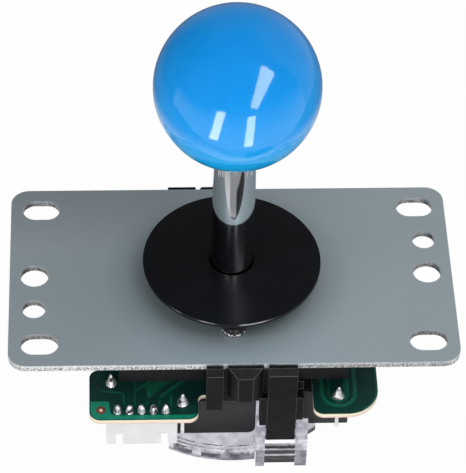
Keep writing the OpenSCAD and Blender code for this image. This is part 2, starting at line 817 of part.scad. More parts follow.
module ball_insert() {
  color("goldenrod") translate([0, 0, socket_top]) difference() {
    cylinder(d = insert_d, h = insert_top - socket_top);
    translate([0, 0, -1]) cylinder(r = stem_r + fix_gap, h = insert_top - socket_top + 2);
  }
}

module dust_washer() {
  edge = 0.25 * washer_t;
  washer_r = washer_d / 2;
  top = washer_lift + washer_t;
  color([0.07, 0.07, 0.08]) rotate_extrude() polygon([
    [washer_hole_r, washer_lift], [washer_r - edge, washer_lift], [washer_r, washer_lift + edge],
    [washer_r, top - edge], [washer_r - edge, top], [washer_hole_r, top]
  ]);
}

mounting_plate();
plate_screws();
main_housing();
circuit_board();
connector_shell();
connector_pins();
solder_joints();
on_side(0) switch_case();  // switch_case_front
on_side(1) switch_case();  // switch_case_right
on_side(2) switch_case();  // switch_case_rear
on_side(3) switch_case();  // switch_case_left
switch_lids();
contact_blades();
switch_terminals();
on_side(0) plunger();  // plunger_front
on_side(1) plunger();  // plunger_right
on_side(2) plunger();  // plunger_rear
on_side(3) plunger();  // plunger_left
restrictor_gate();
spring_seat();
return_spring();
actuator();
pivot_ball();
lever_shaft();
retaining_ring();
ball_top();
ball_insert();
dust_washer();
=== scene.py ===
"""Looks of a lever joystick under a slotted steel plate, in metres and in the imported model's frame.

Turned and wound pieces are made here from profiles given in millimetres. The moulded and pressed pieces are
copies of the solids with soft edges. Every material is made of nodes in object space.
"""

import json
import math

import bmesh
import bpy
import numpy as np
from mathutils import Matrix, Vector


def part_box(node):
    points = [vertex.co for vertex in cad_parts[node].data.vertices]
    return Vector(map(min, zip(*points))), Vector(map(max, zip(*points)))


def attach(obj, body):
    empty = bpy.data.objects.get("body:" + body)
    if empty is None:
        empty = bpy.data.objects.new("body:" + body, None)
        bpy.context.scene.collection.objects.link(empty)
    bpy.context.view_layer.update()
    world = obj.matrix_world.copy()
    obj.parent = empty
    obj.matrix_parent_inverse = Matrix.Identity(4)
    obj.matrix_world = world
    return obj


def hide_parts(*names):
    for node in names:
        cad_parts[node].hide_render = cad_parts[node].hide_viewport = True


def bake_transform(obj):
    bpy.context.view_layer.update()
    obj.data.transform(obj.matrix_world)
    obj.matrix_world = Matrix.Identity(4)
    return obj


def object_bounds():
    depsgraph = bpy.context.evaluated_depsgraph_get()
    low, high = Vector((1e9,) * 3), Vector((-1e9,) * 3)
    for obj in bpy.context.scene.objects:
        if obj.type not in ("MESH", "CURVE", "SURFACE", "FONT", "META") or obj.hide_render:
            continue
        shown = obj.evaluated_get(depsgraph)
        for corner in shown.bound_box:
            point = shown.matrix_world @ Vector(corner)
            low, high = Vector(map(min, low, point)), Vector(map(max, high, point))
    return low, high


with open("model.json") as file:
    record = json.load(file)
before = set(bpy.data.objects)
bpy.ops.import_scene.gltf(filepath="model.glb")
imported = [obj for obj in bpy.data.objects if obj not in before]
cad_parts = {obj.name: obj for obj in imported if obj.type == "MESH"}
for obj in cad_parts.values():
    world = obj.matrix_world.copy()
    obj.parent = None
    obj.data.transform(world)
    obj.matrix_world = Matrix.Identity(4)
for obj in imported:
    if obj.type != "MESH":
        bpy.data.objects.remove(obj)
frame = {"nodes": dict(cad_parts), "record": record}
cad_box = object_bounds()
scene = bpy.context.scene
nodes = frame["nodes"]
bodies_of = {node: body for body, held in frame["record"]["behaviour"]["bodies"].items() for node in held}
slots_of = {part["node"]: part["material_slot"] for part in frame["record"]["subparts"]}
MM = 0.001


def ends(node):
    """A solid's lowest and highest corner in millimetres, without the noise of single precision."""
    return np.round(np.array(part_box(node)) / MM, 4)


# Sizes of the solids in millimetres, with heights from the plate's top. The insert reaches from the shaft's
# shoulder to the middle of the ball.
SHAFT_TOP, BALL_Z = ends("ball_insert")[:, 2]
BALL_R = ends("ball_top")[1, 2] - BALL_Z
FOOT_Z = ends("ball_top")[0, 2]
INSERT_R = ends("ball_insert")[1, 0]
SHAFT_R = ends("lever_shaft")[1, 0]
STEM_LOW, STUD_TOP = ends("lever_shaft")[:, 2]
PIVOT_TOP = ends("pivot_ball")[1, 2]
WASHER_R = ends("dust_washer")[1, 0]
WASHER_LOW, WASHER_TOP = ends("dust_washer")[:, 2]
PLATE_HALF = ends("mounting_plate")[1, :2]
PLATE_LOW = ends("mounting_plate")[0, 2]
SCREW_HEAD_R = ends("plate_screws")[1, 0]
SCREW_Y = ends("plate_screws")[1, 1] - SCREW_HEAD_R
SCREW_LOW, SCREW_TOP = ends("plate_screws")[:, 2]
BOARD_LOW, BOARD = ends("circuit_board")[:, 2]

# Sizes in millimetres that the solids' corners don't give
STEM_R, WASHER_HOLE_R, SCREW_SHANK_R = 3.0, 4.867, 1.5
BLOCK_HALF = (25, 20.5)
PLATE_RIM = 1.7
COPPER, SUNK, FIT = 0.03, 0.01, 0.02


# Node graphs

def fill(tree, socket, value):
    """Sets a socket to a number or colour, or links another node's output to it."""
    if isinstance(value, bpy.types.NodeSocket):
        tree.links.new(value, socket)
    else:
        socket.default_value = value


def put(tree, kind, inputs=None, **settings):
    """Adds a node of a kind with its settings and inputs, and returns it."""
    made = tree.nodes.new("ShaderNode" + kind)
    for key, value in settings.items():
        setattr(made, key, value)
    for key, value in (inputs or {}).items():
        fill(tree, made.inputs[key], value)
    return made


def math_node(tree, operation, a, b=0.0, c=0.0):
    """The result of one sum, product or comparison."""
    return put(tree, "Math", {0: a, 1: b, 2: c}, operation=operation).outputs[0]


def times(tree, a, b):
    """The product of two numbers."""
    return math_node(tree, "MULTIPLY", a, b)


def mixed(tree, factor, a, b):
    """A colour between a and b."""
    made = put(tree, "Mix", data_type="RGBA")
    for place, value in ((0, factor), (6, a), (7, b)):
        fill(tree, made.inputs[place], value)
    return made.outputs[2]


def ramp(tree, value, low, high, to_low=0.0, to_high=1.0):
    """A number stretched from one range to another, and held inside it."""
    inputs = {"Value": value, "From Min": low, "From Max": high, "To Min": to_low, "To Max": to_high}
    return put(tree, "MapRange", inputs).outputs[0]


def place(tree, scale=(1, 1, 1)):
    """Object coordinates in metres, stretched."""
    inputs = {"Vector": put(tree, "TexCoord").outputs["Object"], "Scale": scale}
    return put(tree, "Mapping", inputs).outputs[0]


def axes(tree):
    """The X, Y and Z of the object coordinates, in metres."""
    return put(tree, "SeparateXYZ", {0: place(tree)}).outputs


def flat_distance(tree, x, y, centre=(0, 0, 0)):
    """The distance of a place from a centre, seen from above."""
    flat = put(tree, "CombineXYZ", {0: x, 1: y}).outputs[0]
    return put(tree, "VectorMath", {0: flat, 1: centre}, operation="DISTANCE").outputs["Value"]


def noise(tree, scale, stretch=(1, 1, 1), detail=3.0, rough=0.55):
    """Noise with a number of blots to the metre, stretched along the axes."""
    inputs = {"Vector": place(tree, stretch), "Scale": scale, "Detail": detail, "Roughness": rough}
    return put(tree, "TexNoise", inputs).outputs["Fac"]


def bumped(tree, *layers):
    """A normal roughened by layers of (height, strength, depth in millimetres)."""
    normal = None
    for height, strength, depth in layers:
        inputs = {"Height": height, "Strength": strength, "Distance": depth * MM}
        if normal is not None:
            inputs["Normal"] = normal
        normal = put(tree, "Bump", inputs).outputs[0]
    return normal


def material(name, **constants):
    """A new material, its tree and its surface shader, with the constant inputs set on the shader."""
    made = bpy.data.materials.new(name)
    made.use_nodes = True
    tree = made.node_tree
    shader = tree.nodes["Principled BSDF"]
    for key, value in constants.items():
        shader.inputs[key.replace("_", " ")].default_value = value
    return made, tree, shader


def shade(name, dark, light, rough, blots=400.0, grain=None, stretch=(1, 1, 1), **constants):
    """A surface that wanders between two colours and two roughnesses, with a bumped grain.

    The colour follows wide blots, the roughness smaller ones, and the grain is (scale, strength, depth).
    """
    made, tree, shader = material(name, **constants)
    wide = ramp(tree, noise(tree, blots, stretch), 0.32, 0.68)
    fine = ramp(tree, noise(tree, 4.7 * blots, stretch), 0.3, 0.7)
    fill(tree, shader.inputs["Base Color"], mixed(tree, wide, (*dark, 1), (*light, 1)))
    fill(tree, shader.inputs["Roughness"], ramp(tree, fine, 0, 1, rough[0], rough[1]))
    if grain:
        height = noise(tree, grain[0], stretch, 2.0)
        fill(tree, shader.inputs["Normal"], bumped(tree, (height, grain[1], grain[2])))
    return made


def plate_material():
    """Grey plated sheet: fine rolling lines along X, speckled plating and faint blots.

    It has painted shade round the washer and towards the rear left, and painted light towards the right
    front.
    """
    made, tree, shader = material("plate_steel", Metallic=0.5)
    blots = ramp(tree, noise(tree, 45, detail=4.0), 0.3, 0.7)
    rolled = ramp(tree, noise(tree, 900, (0.04, 1, 1)), 0.3, 0.7)
    speckle = ramp(tree, noise(tree, 3200, detail=1.0), 0.3, 0.7)
    x, y, _ = axes(tree)
    # Painted light: the plate is a little lighter towards the right front, mixed with random blots.
    across = ramp(tree, math_node(tree, "SUBTRACT", x, y), -0.055, 0.045)
    tone = math_node(tree, "ADD", times(tree, across, 0.75), times(tree, blots, 0.25))
    base = mixed(tree, tone, (0.450, 0.528, 0.560, 1), (0.466, 0.545, 0.580, 1))
    base = mixed(tree, times(tree, rolled, 0.22), base, (0.50, 0.575, 0.605, 1))
    base = mixed(tree, times(tree, speckle, 0.14), base, (0.295, 0.36, 0.39, 1))
    # Painted shade: the plate is darker towards the rear left.
    dull = times(tree, ramp(tree, x, 0.030, -0.015, 0, 0.5), ramp(tree, y, 0.008, 0.025))
    base = mixed(tree, dull, base, (0.225, 0.265, 0.280, 1))
    # Painted shade: a darker ring round the washer, broken up by the blots.
    spread = flat_distance(tree, x, y, (-0.001, -0.001, 0))
    disc = WASHER_R * MM
    washer_shade = times(tree, ramp(tree, spread, disc + 0.008, disc - 0.0005), ramp(tree, blots, 0, 1, 0.28, 0.40))
    fill(tree, shader.inputs["Base Color"], mixed(tree, washer_shade, base, (0.19, 0.255, 0.27, 1)))
    fill(tree, shader.inputs["Roughness"], ramp(tree, math_node(tree, "ADD", speckle, blots), 0, 2, 0.5, 0.6))
    fill(tree, shader.inputs["Normal"], bumped(tree, (rolled, 0.25, 0.004), (speckle, 0.3, 0.003)))
    return made


def sheared_material(name, dark, light):
    """Cut edge of steel: smooth where the punch sheared it and torn in fine upright lines under that."""
    made, tree, shader = material(name, Metallic=0.8)
    torn = ramp(tree, noise(tree, 3600, (1, 1, 0.45), 4.0, 0.7), 0.40, 0.60)
    dents = ramp(tree, noise(tree, 1500, (1, 1, 0.5), 3.0), 0.35, 0.7)
    level, middle = axes(tree)[2], PLATE_LOW * MM / 2
    sheared = ramp(tree, level, middle, middle / 2)
    base = mixed(tree, torn, (*dark, 1), (*light, 1))
    base = mixed(tree, times(tree, sheared, 0.6), base, (*light, 1))
    fill(tree, shader.inputs["Base Color"], base)
    fill(tree, shader.inputs["Roughness"], ramp(tree, dents, 0, 1, 0.3, 0.55))
    fill(tree, shader.inputs["Normal"], bumped(tree, (dents, 0.4, 0.04), (torn, 0.4, 0.015)))
    return made


def washer_material():
    """Black disc, faintly turned: fine rings about the shaft that catch light in a streak.

    Its upper rim has a painted highlight in front and at the left, but not over the screw.
    """
    made, tree, shader = material("washer_black", Specular_IOR_Level=0.23)
    x, y, z = axes(tree)
    radius = flat_distance(tree, x, y)
    rings = put(tree, "TexNoise", {"W": times(tree, radius, 5200.0), "Detail": 2.0},
                noise_dimensions="1D").outputs["Fac"]
    dust = ramp(tree, noise(tree, 260, detail=5.0), 0.45, 0.75)
    base = mixed(tree, dust, (0.0050, 0.0052, 0.0072, 1), (0.0070, 0.0073, 0.0098, 1))
    edge, top = WASHER_R * MM, WASHER_TOP * MM
    rim = times(tree, ramp(tree, radius, edge - 0.00018, edge - 0.00008),
                ramp(tree, z, top - 0.00028, top - 0.00018))
    # Painted highlight: a pale line on the upper rim, in front and at the left, broken up by noise and left
    # out over the screw.
    patchy = times(tree, ramp(tree, x, 0.010, 0.006), ramp(tree, y, -0.0130, -0.0155))
    patchy = times(tree, patchy, ramp(tree, noise(tree, 160, detail=4.0), 0.42, 0.55, 0.05, 1))
    beside_screw = math_node(tree, "MAXIMUM", ramp(tree, x, 0.0006, 0.0016), ramp(tree, x, -0.0040, -0.0050))
    rim_highlight = times(tree, rim, times(tree, patchy, beside_screw))
    fill(tree, shader.inputs["Base Color"], mixed(tree, rim_highlight, base, (0.34, 0.34, 0.35, 1)))
    fill(tree, shader.inputs["Roughness"], ramp(tree, rings, 0.3, 0.7, 0.22, 0.34))
    fill(tree, shader.inputs["Normal"], bumped(tree, (rings, 0.12, 0.006)))
    return made


def board_material():
    """Circuit board: dark green mask on its faces and a cream fibre edge with a pink lower line."""
    made, tree, shader = material("board_green", Specular_IOR_Level=0.35)
    normal = put(tree, "NewGeometry").outputs["Normal"]
    upward = math_node(tree, "ABSOLUTE", put(tree, "SeparateXYZ", {0: normal}).outputs[2])
    face = math_node(tree, "GREATER_THAN", upward, 0.5)
    level = axes(tree)[2]
    threads = {"Vector": place(tree), "Scale": 900.0, "Distortion": 1.5, "Detail": 1.0}
    weave = put(tree, "TexWave", threads).outputs["Fac"]
    blots = ramp(tree, noise(tree, 300), 0.3, 0.7)
    mask = mixed(tree, blots, (0.003, 0.036, 0.029, 1), (0.005, 0.054, 0.043, 1))
    mask = mixed(tree, times(tree, weave, 0.25), mask, (0.007, 0.062, 0.048, 1))
    bottom = BOARD_LOW * MM
    low = ramp(tree, level, bottom + 0.0001, bottom + 0.0005)
    layers = ramp(tree, noise(tree, 2500, (0.3, 0.3, 3)), 0.3, 0.7)
    edge = mixed(tree, low, (0.78, 0.5, 0.44, 1), (0.84, 0.78, 0.6, 1))
    edge = mixed(tree, times(tree, layers, 0.3), edge, (0.9, 0.86, 0.72, 1))
    fill(tree, shader.inputs["Base Color"], mixed(tree, face, edge, mask))
    fill(tree, shader.inputs["Roughness"], ramp(tree, face, 0, 1, 0.75, 0.28))
    fill(tree, shader.inputs["Normal"], bumped(tree, (weave, 0.1, 0.01), (layers, 0.15, 0.02)))
    return made


def solder_material():
    """Bright solder with frosted grains and dark flux specks."""
    made, tree, shader = material("solder", Metallic=0.75)
    grains = put(tree, "TexVoronoi", {"Vector": place(tree), "Scale": 1500.0}).outputs["Distance"]
    flux = ramp(tree, noise(tree, 900, detail=4.0), 0.53, 0.60)
    bright = mixed(tree, grains, (0.97, 0.96, 0.97, 1), (0.80, 0.79, 0.81, 1))
    fill(tree, shader.inputs["Base Color"], mixed(tree, flux, bright, (0.07, 0.065, 0.065, 1)))
    fill(tree, shader.inputs["Roughness"], ramp(tree, grains, 0, 0.6, 0.14, 0.34))
    fill(tree, shader.inputs["Normal"], bumped(tree, (grains, 0.5, 0.12), (flux, 0.5, 0.10)))
    return made


def clear_material(name, dark, light, clear=0.93):
    """Clear plastic with a tint, wavy from the mould, and milky where it is less clear."""
    made, tree, shader = material(name, IOR=1.49, Transmission_Weight=clear)
    waves = noise(tree, 230, detail=3.0)
    haze = ramp(tree, noise(tree, 430, detail=2.0), 0.38, 0.64)
    fill(tree, shader.inputs["Base Color"], mixed(tree, haze, (*dark, 1), (*light, 1)))
    fill(tree, shader.inputs["Roughness"], ramp(tree, haze, 0, 1, 0.05, 0.16))
    fill(tree, shader.inputs["Normal"], bumped(tree, (waves, 0.7, 0.45)))
    return made


def ball_material():
    """Blue glossy plastic, a little milky, with painted light: darker at the top and paler towards its foot.
    """
    made, tree, shader = material("ball_blue", Coat_Weight=0.4, Coat_Roughness=0.03, Subsurface_Weight=0.4,
                                  Subsurface_Scale=0.01, Subsurface_Radius=(0.2, 1.0, 0.8))
    level, centre = axes(tree)[2], BALL_Z * MM
    blots = ramp(tree, noise(tree, 60), 0.32, 0.68)
    upper = mixed(tree, blots, (0.005, 0.290, 0.78, 1), (0.007, 0.310, 0.83, 1))
    middle = mixed(tree, blots, (0.009, 0.345, 0.87, 1), (0.011, 0.370, 0.92, 1))
    # Painted light: the top is darker and the lower part paler and more cyan, standing in for light from
    # below and in front.
    base = mixed(tree, ramp(tree, level, centre + 0.0153, centre + 0.0013), upper, middle)
    base = mixed(tree, ramp(tree, level, centre - 0.0007, centre - 0.0147), base, (0.014, 0.535, 1.0, 1))
    fill(tree, shader.inputs["Base Color"], base)
    fine = ramp(tree, noise(tree, 280), 0.3, 0.7)
    fill(tree, shader.inputs["Roughness"], ramp(tree, fine, 0, 1, 0.07, 0.11))
    fill(tree, shader.inputs["Normal"], bumped(tree, (noise(tree, 420, detail=2.0), 0.05, 0.02)))
    return made


def screw_material():
    """Black plated steel, with bright specks painted as glints that lie mostly low on the heads' sides."""
    made, tree, shader = material("black_screw", Specular_IOR_Level=0.2)
    x, y, z = axes(tree)
    ahead = math_node(tree, "SUBTRACT", math_node(tree, "ABSOLUTE", y), SCREW_Y * MM)
    radius, edge = flat_distance(tree, x, ahead), SCREW_HEAD_R * MM
    low = times(tree, ramp(tree, z, 0.0002, 0.0003), ramp(tree, z, 0.0009, 0.0007))
    side = times(tree, ramp(tree, radius, edge - 0.0003, edge - 0.00015), low)
    # Painted highlight: bright glints in a band low on the heads' sides, and faint specks elsewhere.
    specks = ramp(tree, noise(tree, 2200, detail=2.0), 0.46, 0.56)
    glints = times(tree, specks, ramp(tree, side, 0, 1, 0.03, 1))
    patchy = ramp(tree, noise(tree, 700), 0.3, 0.7)
    base = mixed(tree, patchy, (0.003, 0.003, 0.004, 1), (0.010, 0.010, 0.012, 1))
    fill(tree, shader.inputs["Base Color"], mixed(tree, glints, base, (0.80, 0.80, 0.82, 1)))
    fill(tree, shader.inputs["Roughness"], ramp(tree, patchy, 0, 1, 0.15, 0.3))
    fill(tree, shader.inputs["Normal"], bumped(tree, (patchy, 0.5, 0.06), (glints, 0.3, 0.02)))
    return made


MOULDED = dict(rough=(0.36, 0.52), grain=(1800, 0.12, 0.02))
finish = {
    "plate_steel": plate_material(),
    "black_screw": screw_material(),
    "black_plastic": shade("black_plastic", (0.0040, 0.0042, 0.0054), (0.0078, 0.0081, 0.0100), blots=350,
                           Specular_IOR_Level=0.10, **MOULDED),
    "board_green": board_material(),
    "white_plastic": shade("white_plastic", (0.73, 0.73, 0.75), (0.79, 0.79, 0.80), (0.3, 0.42), 300,
                           (1500, 0.08, 0.02), Subsurface_Weight=0.08, Subsurface_Scale=0.002),
    "tinned_metal": shade("tinned_metal", (0.74, 0.72, 0.71), (0.90, 0.88, 0.87), (0.2, 0.34), 900,
                          (2600, 0.2, 0.01), Metallic=1.0),
    "solder": solder_material(),
    "switch_plastic": shade("switch_plastic", (0.020, 0.020, 0.022), (0.027, 0.027, 0.029), (0.42, 0.58), 300,
                            (2200, 0.14, 0.02), Specular_IOR_Level=0.3),
    "blade_brass": shade("blade_brass", (0.66, 0.47, 0.2), (0.80, 0.60, 0.28), (0.22, 0.36), 300,
                         (1500, 0.15, 0.01), (0.05, 1, 1), Metallic=1.0),
    "plunger_plastic": shade("plunger_plastic", (0.74, 0.69, 0.58), (0.80, 0.76, 0.66), (0.3, 0.42), 500,
                             (2000, 0.1, 0.02)),
    "clear_plastic": clear_material("clear_plastic", (0.52, 0.52, 0.60), (0.78, 0.78, 0.85)),
    "spring_steel": shade("spring_steel", (0.50, 0.50, 0.52), (0.66, 0.66, 0.68), (0.18, 0.32), 600,
                          (2600, 0.15, 0.01), Metallic=1.0),
    "white_nylon": shade("white_nylon", (0.78, 0.78, 0.75), (0.85, 0.85, 0.82), (0.3, 0.46), 400,
                         (1600, 0.1, 0.02), Subsurface_Weight=0.1, Subsurface_Scale=0.002),
    "shaft_chrome": shade("shaft_chrome", (0.60, 0.62, 0.65), (0.68, 0.70, 0.73), (0.035, 0.075), 220,
                          (2600, 0.04, 0.004), (1, 1, 0.06), Metallic=1.0),
    "ball_blue": ball_material(),
    "insert_brass": shade("insert_brass", (0.66, 0.50, 0.22), (0.80, 0.62, 0.30), (0.2, 0.34), 500,
                          (2400, 0.2, 0.01), (1, 1, 0.08), Metallic=1.0),
    "washer_black": washer_material(),
}
cut_edge = sheared_material("plate_cut_edge", (0.20, 0.21, 0.22), (0.96, 0.965, 0.97))
# Painted shade: a darker copy of the cut edge for the walls of the plate's holes.
hole_edge_shaded = sheared_material("plate_hole_edge_shaded", (0.03, 0.03, 0.035), (0.42, 0.43, 0.44))
# Painted light: a lighter black for the block's outer walls, which lie in shade under the plate.
lit_wall_black = shade("lit_wall_black", (0.016, 0.016, 0.018), (0.024, 0.024, 0.027), blots=350,
                   Specular_IOR_Level=0.2, **MOULDED)
# Painted highlight: a paler black for the housing's rounded edges.
rim_highlight_black = shade("rim_highlight_black", (0.010, 0.010, 0.012), (0.052, 0.052, 0.057), blots=900,
                     Specular_IOR_Level=0.3, **MOULDED)
# Painted shade: darker, less clear copies of the clear plastic for faces of the gate's posts, skirt, sills
# and ridged grips.
sloped_clear_shaded = clear_material("sloped_clear_shaded", (0.36, 0.36, 0.43), (0.80, 0.80, 0.87), 0.4)
upright_clear_shaded = clear_material("upright_clear_shaded", (0.12, 0.12, 0.155), (0.32, 0.32, 0.375), 0.35)
grip_clear_shaded = clear_material("grip_clear_shaded", (0.004, 0.004, 0.005), (0.010, 0.010, 0.012), 0.5)
trace_green = shade("trace_green", (0.003, 0.105, 0.062), (0.005, 0.145, 0.084), (0.24, 0.36), 500,
                    (1800, 0.1, 0.01))
pour_green = shade("pour_green", (0.004, 0.215, 0.128), (0.006, 0.270, 0.160), (0.24, 0.36), 500,
                   (1800, 0.1, 0.01))
bare_copper = shade("bare_copper", (0.16, 0.035, 0.018), (0.34, 0.11, 0.06), (0.3, 0.5), 1500,
                    (2600, 0.2, 0.02), Metallic=0.4)
bright_copper = shade("bright_copper", (0.86, 0.58, 0.42), (0.98, 0.80, 0.66), (0.25, 0.4), 1500,
                      (2600, 0.2, 0.02), Metallic=0.3)


# Meshes

def tidy(mesh, sharp=32.0):
    """Merges points that meet, drops empty faces, turns faces outward and smooths all but sharp edges."""
    work = bmesh.new()
    work.from_mesh(mesh)
    bmesh.ops.remove_doubles(work, verts=work.verts, dist=2e-7)
    bmesh.ops.dissolve_degenerate(work, edges=work.edges, dist=1e-7)
    bmesh.ops.recalc_face_normals(work, faces=work.faces)
    work.to_mesh(mesh)
    work.free()
    mesh.polygons.foreach_set("use_smooth", np.ones(len(mesh.polygons), dtype=bool))
    mesh.set_sharp_from_angle(angle=math.radians(sharp))
    mesh.update()
    return mesh


def add(name, mesh, body, slot, *surfaces):
    """Shows a mesh as a piece with its materials, riding on a body where one is named."""
    for surface in surfaces or (finish[slot],):
        mesh.materials.append(surface)
    made = bpy.data.objects.new(name, mesh)
    scene.collection.objects.link(made)
    if body:
        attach(made, body)
    return made


def built(name, parts, sharp=32.0):
    """A mesh of several (points in millimetres, faces) lists."""
    points, faces, start = [], [], 0
    for more, sides in parts:
        points.append(np.asarray(more, float))
        faces += [[start + int(i) for i in side] for side in sides]
        start += len(more)
    mesh = bpy.data.meshes.new(name)
    mesh.from_pydata((np.concatenate(points) * MM).tolist(), [], faces)
    return tidy(mesh, sharp)


def grid(points, close_rows, close_columns):
    """Faces of a grid of points (rows, columns, 3), joined round where it closes."""
    rows, columns = points.shape[:2]
    i = np.arange(rows if close_rows else rows - 1)[:, None]
    j = np.arange(columns if close_columns else columns - 1)[None, :]
    row, next_row, beside = i * columns, (i + 1) % rows * columns, (j + 1) % columns
    sides = np.stack([row + j, row + beside, next_row + beside, next_row + j], -1)
    return points.reshape(-1, 3), sides.reshape(-1, 4)


def revolved(profile, steps=128, closed=False, at=(0, 0, 0), wobble=None):
    """A profile of (radius, height) turned round Z.

    Each profile point becomes a ring, x = r cos a and y = r sin a, and wobble scales r by the angle and the
    height.
    """
    radius, height = np.asarray(profile, float).T
    turn = np.linspace(0, 2 * np.pi, steps, endpoint=False)
    rings = np.repeat(radius[:, None], steps, 1)
    if wobble is not None:
        rings = rings * wobble(turn[None, :], height[:, None])
    levels = np.repeat(height[:, None], steps, 1)
    points = np.stack([rings * np.cos(turn), rings * np.sin(turn), levels], -1)
    return grid(points + np.asarray(at, float), closed, True)


def rounded(corners, steps=6):
    """Straight lines between corners (x, y, radius), with an arc of the radius in each corner."""
    line = []
    for k, (x, y, radius) in enumerate(corners):
        corner = np.array([x, y], float)
        if radius == 0:
            line.append(corner)
            continue
        back = np.array(corners[k - 1][:2]) - corner
        ahead = np.array(corners[(k + 1) % len(corners)][:2]) - corner
        back /= np.linalg.norm(back)
        ahead /= np.linalg.norm(ahead)
        half = math.acos(np.clip(back @ ahead, -1, 1)) / 2
        middle = corner + (back + ahead) / np.linalg.norm(back + ahead) * radius / math.sin(half)
        first = corner + back * radius / math.tan(half) - middle
        last = corner + ahead * radius / math.tan(half) - middle
        start = math.atan2(first[1], first[0])
        sweep = (math.atan2(last[1], last[0]) - start + math.pi) % (2 * math.pi) - math.pi
        turn = start + np.linspace(0, sweep, steps + 1)
        line.extend(middle + radius * np.stack([np.cos(turn), np.sin(turn)], -1))
    return np.array(line)


def cut(piece, parts):
    """Takes solids given as (points, faces) away from a piece."""
    tool = bpy.data.objects.new("cutter", built("cutter", parts))
    scene.collection.objects.link(tool)
    knife = piece.modifiers.new("cut", "BOOLEAN")
    knife.object = tool
    knife.operation = "DIFFERENCE"
    knife.solver = "EXACT"
    old = piece.data
    view = bpy.context.evaluated_depsgraph_get()
    piece.data = bpy.data.meshes.new_from_object(piece.evaluated_get(view))
    piece.modifiers.clear()
    bpy.data.objects.remove(tool)
    bpy.data.meshes.remove(old)
    tidy(piece.data)


def block(low, high, taper=0.0):
    """Points and faces of a box whose lower end is narrower by the taper all round."""
    low, high = np.asarray(low, float), np.asarray(high, float)
    points = []
    for z, inset in ((low[2], taper), (high[2], 0.0)):
        points += [[low[0] + inset, low[1] + inset, z], [high[0] - inset, low[1] + inset, z],
                   [high[0] - inset, high[1] - inset, z], [low[0] + inset, high[1] - inset, z]]
    sides = [[0, 3, 2, 1], [4, 5, 6, 7], [0, 1, 5, 4], [1, 2, 6, 5], [2, 3, 7, 6], [3, 0, 4, 7]]
    return np.array(points), sides


def dressed(node, edge, steps=2, more=(), chosen=None, rim=-1, clamped=True):
    """A copy of a solid with its flat faces joined and its edges rounded by a width in millimetres.

    More materials go on the faces that chosen numbers by their outward directions and their middles, and the
    one numbered by rim goes on the rounded edges. If clamped, all edges are narrower where one is short.
    """
    mesh = nodes[node].data.copy()
    mesh.name = node + "_soft"
    mesh.materials.clear()
    work = bmesh.new()
    work.from_mesh(mesh)
    bmesh.ops.remove_doubles(work, verts=work.verts, dist=2e-6)
    bmesh.ops.dissolve_limit(work, angle_limit=math.radians(0.4), verts=work.verts, edges=work.edges)
    work.to_mesh(mesh)
    work.free()
    tidy(mesh)
    slot = slots_of[node]
    made = add(node + "_soft", mesh, bodies_of[node], slot, finish[slot], *more)
    if more:
        normals, middles = np.empty((2, 3 * len(mesh.polygons)))
        mesh.polygons.foreach_get("normal", normals)
        mesh.polygons.foreach_get("center", middles)
        number = chosen(normals.reshape(-1, 3), middles.reshape(-1, 3) / MM)
        mesh.polygons.foreach_set("material_index", number.astype(np.int32))
    if edge:
        bevel = made.modifiers.new("soft edges", "BEVEL")
        bevel.width = edge * MM
        bevel.segments = steps
        bevel.limit_method = "ANGLE"
        bevel.angle_limit = math.radians(35)
        bevel.harden_normals = True
        bevel.material = rim
        bevel.use_clamp_overlap = clamped
    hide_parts(node)


# Camera, its place in millimetres and its directions to the right and ahead

EYE = Vector((-25.572, -422.076, 458.046))
RIGHT = Vector((0.99907759, -0.03598965, 0.02342449))
AHEAD = Vector((0.04175328, 0.68674145, -0.72570162))


def set_camera():
    """A long lens over the front, turned a little to the right and rolled as the photo is."""
    data = bpy.data.cameras.new("camera")
    data.lens = 215.26
    data.sensor_width = 36
    data.clip_start = 0.01
    camera = bpy.data.objects.new("camera", data)
    turn = Matrix((RIGHT, RIGHT.cross(AHEAD), -AHEAD)).transposed().to_4x4()
    camera.matrix_world = Matrix.Translation(EYE * MM) @ turn
    scene.collection.objects.link(camera)
    scene.camera = camera


set_camera()


# Lever

def ball_profile():
    """Half a circle from the top down to the flat foot, then the bore for the shaft and the insert."""
    lowest = math.asin((FOOT_Z - BALL_Z) / BALL_R)
    turn = np.linspace(np.pi / 2, lowest, 72)
    arc = np.stack([BALL_R * np.cos(turn), BALL_Z + BALL_R * np.sin(turn)], -1)
    arc[0, 0] = 0
    shaft_bore, insert_bore = SHAFT_R + FIT, INSERT_R + FIT
    bore = rounded([(*arc[-1], 0), (shaft_bore, FOOT_Z, 0.15), (shaft_bore, SHAFT_TOP, 0),
                    (insert_bore, SHAFT_TOP, 0), (insert_bore, BALL_Z, 0), (0, BALL_Z, 0)])
    return np.concatenate([arc, bore[1:]])


ball_mesh = built("ball_top_turned", [revolved(ball_profile(), 160)])
ball = add("ball_top_turned", ball_mesh, "lever", "ball_blue")
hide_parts("ball_top")


def shaft_profile():
    """The stem with its grooved end, the wider bright body and the threaded stud, each corner broken."""
    ring_low, ring_high = ends("retaining_ring")[:, 2]
    groove_low, groove_high, groove_r = ring_low - FIT, ring_high + FIT, STEM_R - 0.6
    shoulder = PIVOT_TOP + 0.05
    return rounded([(0, STEM_LOW, 0), (STEM_R, STEM_LOW, 0.35), (STEM_R, groove_low, 0),
                    (groove_r, groove_low, 0.1), (groove_r, groove_high, 0.1), (STEM_R, groove_high, 0),
                    (STEM_R, shoulder, 0.15), (SHAFT_R, shoulder, 0.4), (SHAFT_R, SHAFT_TOP, 0.2),
                    (STEM_R, SHAFT_TOP, 0.2), (STEM_R, STUD_TOP, 0.4), (0, STUD_TOP, 0)])


